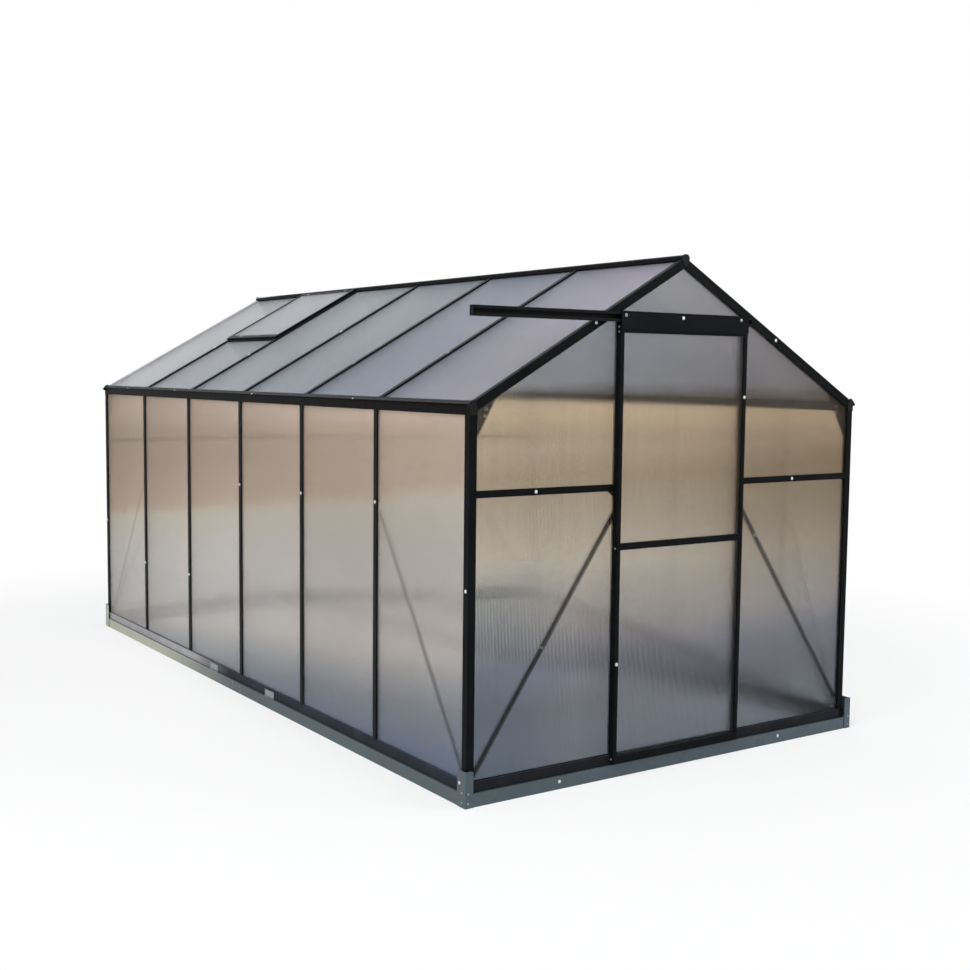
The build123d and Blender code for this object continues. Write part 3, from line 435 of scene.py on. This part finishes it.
class Hardware:
    """One piece that gathers small metal parts of the same kind on one body."""

    def __init__(self, name, body, slot_name, finish):
        self.name, self.body, self.slot_name, self.finish = name, body, slot_name, finish
        self.mesh = bmesh.new()

    def turned(self, place, axis, outline, sides=ROUND_SIDES):
        """A closed turned form that stands on a seat along an axis."""
        axis = Vector(axis).normalized()
        first = axis.orthogonal().normalized()
        second = axis.cross(first)
        rings = []
        for radius, height in outline:
            ring = []
            for step in range(sides):
                angle = 2 * math.pi * step / sides
                spoke = first * math.cos(angle) + second * math.sin(angle)
                ring.append(self.mesh.verts.new((Vector(place) + axis * height + spoke * radius) * MM))
            rings.append(ring)
        for low, high in zip(rings, rings[1:]):
            self.band(low, high)
        self.mesh.faces.new(rings[0][::-1])
        self.mesh.faces.new(rings[-1])

    def band(self, low, high):
        """The faces between two rings of corners."""
        for step in range(len(low)):
            after = (step + 1) % len(low)
            self.mesh.faces.new((low[step], low[after], high[after], high[step]))

    def bolt(self, place, axis):
        """A hexagon head on its washer."""
        self.turned(place, axis, WASHER)
        self.turned(place, axis, HEX_HEAD, HEX_SIDES)

    def nut(self, place, axis):
        """A washer, a nut and the end of its bolt."""
        self.bolt(place, axis)
        self.turned(place, axis, BOLT_END)

    def plate(self, corners, thickness):
        """A flat plate from its corners, with the thickness as a vector."""
        low = [self.mesh.verts.new(Vector(c) * MM) for c in corners]
        high = [self.mesh.verts.new((Vector(c) + Vector(thickness)) * MM) for c in corners]
        self.mesh.faces.new(low[::-1])
        self.mesh.faces.new(high)
        self.band(low, high)

    def place(self):
        bmesh.ops.recalc_face_normals(self.mesh, faces=self.mesh.faces)
        data = bpy.data.meshes.new(self.name)
        self.mesh.to_mesh(data)
        self.mesh.free()
        data.materials.append(self.finish)
        piece = bpy.data.objects.new(self.name, data)
        scene.collection.objects.link(piece)
        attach(piece, self.body)


def mm(value):
    return value / MM


# Places on the frame
HALF_WIDTH = 950
FRONT_Y, REAR_Y = -1870.75, 1889.25
MID_Y = (FRONT_Y + REAR_Y) / 2
POST_WIDTH = 30
WALL_BAYS = 6
WALL_BAY = (REAR_Y - FRONT_Y - POST_WIDTH) / WALL_BAYS
STUD_PLACES = [MID_Y + (n + 1 - WALL_BAYS / 2) * WALL_BAY for n in range(WALL_BAYS - 1)]
DOOR_POST_X = 305.5
EAVE_Z, RIDGE_Z = 1374, 1911
GABLE_RAIL_Z = 1071
SLOPE = math.atan2(RIDGE_Z - EAVE_Z, HALF_WIDTH)
SLOPE_LEFT = Vector((-math.sin(SLOPE), 0, math.cos(SLOPE)))
SLOPE_RIGHT = Vector((math.sin(SLOPE), 0, math.cos(SLOPE)))
# Each side with its outward way, and each gable with its way inward along Y
WALL_SIDES = ((-1, LEFT), (1, RIGHT))
ROOF_SIDES = ((-1, SLOPE_LEFT), (1, SLOPE_RIGHT))
GABLES = ((FRONT_Y, 1), (REAR_Y, -1))

# Bolts of the side walls: one to a stud and one to each corner post, from front to rear
WALL_BOLT_HEIGHTS = (744, 993, 975, 963, 468, 450, 618)
wall_bolts = Hardware("wall_bolts", "frame", "galvanised_steel", ZINC)
wall_bolt_places = [FRONT_Y + POST_WIDTH / 2] + STUD_PLACES + [REAR_Y - POST_WIDTH / 2]
for side, out in WALL_SIDES:
    for y, z in zip(wall_bolt_places, WALL_BOLT_HEIGHTS):
        wall_bolts.turned((side * HALF_WIDTH, y, z), out, PAN_HEAD)
wall_bolts.place()

# Bolts of the gables, with low heads because the door passes
GABLE_BOLTS = ((-672, GABLE_RAIL_Z), (602, GABLE_RAIL_Z), (-418, 1660), (487, 1618))
gable_bolts = Hardware("gable_bolts", "frame", "galvanised_steel", ZINC)
for x, z in GABLE_BOLTS:
    gable_bolts.turned((x, FRONT_Y, z), FRONT, LOW_HEAD)
    gable_bolts.turned((x, REAR_Y, z), REAR, LOW_HEAD)
gable_bolts.place()

# Bolts along the roof bars, from front to rear, with painted shade on the two front bars of each slope, where
# the zinc is darker and gives no glint
ROOF_BOLT_PLACES = (630, 702, 434, 624, 548)
roof_bolts = Hardware("roof_bolts", "frame", "galvanised_steel", ZINC)
shaded_roof_bolts = Hardware("shaded_roof_bolts", "frame", "galvanised_steel", DULL_AND_SHADED_ZINC)
for y, x in zip(STUD_PLACES, ROOF_BOLT_PLACES):
    bolts = roof_bolts if y > 0 else shaded_roof_bolts
    for side, out in ROOF_SIDES:
        bolts.turned((side * x, y, RIDGE_Z - x * math.tan(SLOPE)), out, PAN_HEAD)
roof_bolts.place()
shaded_roof_bolts.place()

# Bolts through the gussets, heads outward and nuts inside
PLATE_OUT, PLATE_IN = 22, 25
GUSSET_BOLTS = ((871, 1357), (874, 1334))
joint_bolts = Hardware("joint_bolts", "frame", "galvanised_steel", DULL_AND_SHADED_ZINC)
for y, inward in GABLES:
    for side in (-1, 1):
        for x, z in GUSSET_BOLTS:
            joint_bolts.turned((side * x, y + inward * PLATE_OUT, z), (0, -inward, 0), PAN_HEAD)
            joint_bolts.nut((side * x, y + inward * PLATE_IN, z), (0, inward, 0))
joint_bolts.place()

# Braces: a nut at each end of every brace, and a bolt between the ends of a gable brace.
# A wall brace has its foot and head, and a gable brace also the height of that bolt.
BRACE_INSET, BRACE_END = 31, 16
BRACE_FOOT_X = HALF_WIDTH - BRACE_INSET
WALL_BRACE = ((BRACE_INSET, 77), (POST_WIDTH / 2 + WALL_BAY, 959))
GABLE_BRACES = (((-BRACE_FOOT_X, 87), (-DOOR_POST_X, 973), 515),
                ((BRACE_FOOT_X, 134), (DOOR_POST_X, 1014), 852))
brace_bolts = Hardware("brace_bolts", "frame", "galvanised_steel", ZINC)


def along(foot, head, distance):
    """A place on the line from foot to head, at a distance from the foot or, when negative, from the head."""
    foot, head = Vector(foot), Vector(head)
    reach = (head - foot).normalized() * distance
    return (foot if distance > 0 else head) + reach


for y, inward in GABLES:
    for side in (-1, 1):
        for distance in (BRACE_END, -BRACE_END):
            inset, z = along(*WALL_BRACE, distance)
            brace_bolts.nut((side * (HALF_WIDTH - PLATE_IN), y + inward * inset, z), (-side, 0, 0))
    for foot, head, middle in GABLE_BRACES:
        for distance in (BRACE_END, -BRACE_END):
            x, z = along(foot, head, distance)
            brace_bolts.nut((x, y + inward * PLATE_IN, z), (0, inward, 0))
        share = (middle - foot[1]) / (head[1] - foot[1])
        x = foot[0] + share * (head[0] - foot[0])
        brace_bolts.turned((x, y + inward * PLATE_OUT, middle), (0, -inward, 0), PAN_HEAD)
        brace_bolts.nut((x, y + inward * PLATE_IN, middle), (0, inward, 0))
brace_bolts.place()

# Corner plates under the middle rails, behind the sheets: width and height at the door posts and the corners
PLATE_DEPTH, PLATE_SHEET = 14.5, 2
POST_PLATE, CORNER_PLATE = (26, 20), (13, 13)
CORNER_EDGE = HALF_WIDTH - POST_WIDTH
rail_plates = Hardware("rail_corner_plates", "frame", "black_aluminium", ALUMINIUM)
rail_foot = mm(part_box("gable_rails_front")[0].z)
for posts_node, (y, inward) in zip(("door_posts", "rear_gable_posts"), GABLES):
    posts_low, posts_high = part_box(posts_node)
    depth = y + inward * PLATE_DEPTH
    for edge, side, (wide, tall) in ((mm(posts_low.x), -1, POST_PLATE), (mm(posts_high.x), 1, POST_PLATE),
                                     (-CORNER_EDGE, 1, CORNER_PLATE), (CORNER_EDGE, -1, CORNER_PLATE)):
        reach = edge + side * wide
        corners = [(edge, depth, rail_foot), (reach, depth, rail_foot), (edge, depth, rail_foot - tall)]
        rail_plates.plate(corners, (0, inward * PLATE_SHEET, 0))
rail_plates.place()

# Screws of the base, its corner brackets, splices and clips
BRACKET_BOLT_INSET, BRACKET_BOLT_Z = 36, 83.5
BRACKET_SIDE_INSET, BRACKET_FRONT_INSET, BRACKET_SCREW_HEIGHTS = 22, 12, (51, 17)
SPLICE_SCREWS = ((86, 14), (0, 14), (86, 35), (0, 35))
BASE_BOLT_X, BASE_BOLT_Z = 556, 28
CLIP_SHEET, CLIP_SCREW_Z, CLIP_SCREW_PLACES = 2, 64, (355, -264)
base_bolts = Hardware("base_bolts", "frame", "galvanised_steel", ZINC)
base_screws = Hardware("base_screws", "frame", "galvanised_steel", DULL_AND_SHADED_ZINC)
bracket_low, bracket_high = (Vector(corner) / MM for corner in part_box("corner_brackets"))
for x, inward_x in ((bracket_low.x, 1), (bracket_high.x, -1)):
    for y, inward_y in ((bracket_low.y, 1), (bracket_high.y, -1)):
        bolt_y, screw_y = y + inward_y * BRACKET_BOLT_INSET, y + inward_y * BRACKET_SIDE_INSET
        base_bolts.turned((x, bolt_y, BRACKET_BOLT_Z), (-inward_x, 0, 0), PAN_HEAD)
        for z in BRACKET_SCREW_HEIGHTS:
            base_screws.turned((x, screw_y, z), (-inward_x, 0, 0), SMALL_HEAD)
            base_screws.turned((x + inward_x * BRACKET_FRONT_INSET, y, z), (0, -inward_y, 0), SMALL_HEAD)
for y, z in SPLICE_SCREWS:
    base_screws.turned((mm(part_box("base_rail_left")[0].x), y, z), LEFT, SMALL_HEAD)
    base_screws.turned((mm(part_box("base_rail_right")[1].x), y, z), RIGHT, SMALL_HEAD)
for x in (-BASE_BOLT_X, BASE_BOLT_X):
    base_bolts.turned((x, mm(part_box("base_rail_front")[0].y), BASE_BOLT_Z), FRONT, LOW_HEAD)
    base_bolts.turned((x, mm(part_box("base_rail_rear")[1].y), BASE_BOLT_Z), REAR, LOW_HEAD)
for y in CLIP_SCREW_PLACES:
    for side, out in WALL_SIDES:
        base_screws.turned((side * (HALF_WIDTH + CLIP_SHEET), y, CLIP_SCREW_Z), out, SMALL_HEAD)
base_bolts.place()
base_screws.place()

# Screws of the eaves and the vent
LIP_RISE, EAVE_SCREW_PLACES = 2.5, (-1061, -130, 800, 1500)
VENT_HEAD_RUN, VENT_FOOT_RUN, VENT_RISE = 30, 532, 12
VENT_SCREWS = ((VENT_FOOT_RUN, 868), (VENT_FOOT_RUN, 1092), (VENT_HEAD_RUN, 725), (VENT_HEAD_RUN, 1158))
roof_screws = Hardware("roof_screws", "frame", "galvanised_steel", ZINC)


def on_slope(run, rise, y, side):
    """A place on a roof face, from its run down the slope and its rise above the face."""
    return (side * (run * math.cos(SLOPE) + rise * math.sin(SLOPE)), y,
            RIDGE_Z - run * math.sin(SLOPE) + rise * math.cos(SLOPE))


for side, out in ROOF_SIDES:
    for y in EAVE_SCREW_PLACES:
        roof_screws.turned(on_slope(HALF_WIDTH / math.cos(SLOPE), LIP_RISE, y, side), out, SMALL_HEAD)
for run, y in VENT_SCREWS:
    roof_screws.turned(on_slope(run, VENT_RISE, y, -1), SLOPE_LEFT, SMALL_HEAD)
roof_screws.place()

# Bolts and screws of the door
HEADER_BOLT, HEADER_SCREWS = (-31, 1687), ((-305, 1689), (266, 1688))
STILE_BOLTS = ((-316, 427), (297, 1396))
STILE_SCREW_DEPTH, STILE_SCREW_HEIGHTS = 11, (1648, 1630, 851, 73)
header_face, stile_face = mm(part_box("door_header")[0].y), mm(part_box("door_stiles")[0].y)
door_bolts = Hardware("door_bolts", "door", "galvanised_steel", ZINC)
door_bolts.turned((HEADER_BOLT[0], header_face, HEADER_BOLT[1]), FRONT, PAN_HEAD)
for x, z in STILE_BOLTS:
    door_bolts.turned((x, stile_face, z), FRONT, PAN_HEAD)
door_bolts.place()
door_screws = Hardware("door_screws", "door", "galvanised_steel", DULL_AND_SHADED_ZINC)
for x, z in HEADER_SCREWS:
    door_screws.turned((x, header_face, z), FRONT, LOW_HEAD)
stile_left, stile_right = (mm(corner.x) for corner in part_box("door_stiles"))
for x, out in ((stile_left, LEFT), (stile_right, RIGHT)):
    for z in STILE_SCREW_HEIGHTS:
        door_screws.turned((x, stile_face + STILE_SCREW_DEPTH, z), out, SMALL_HEAD)
door_screws.place()
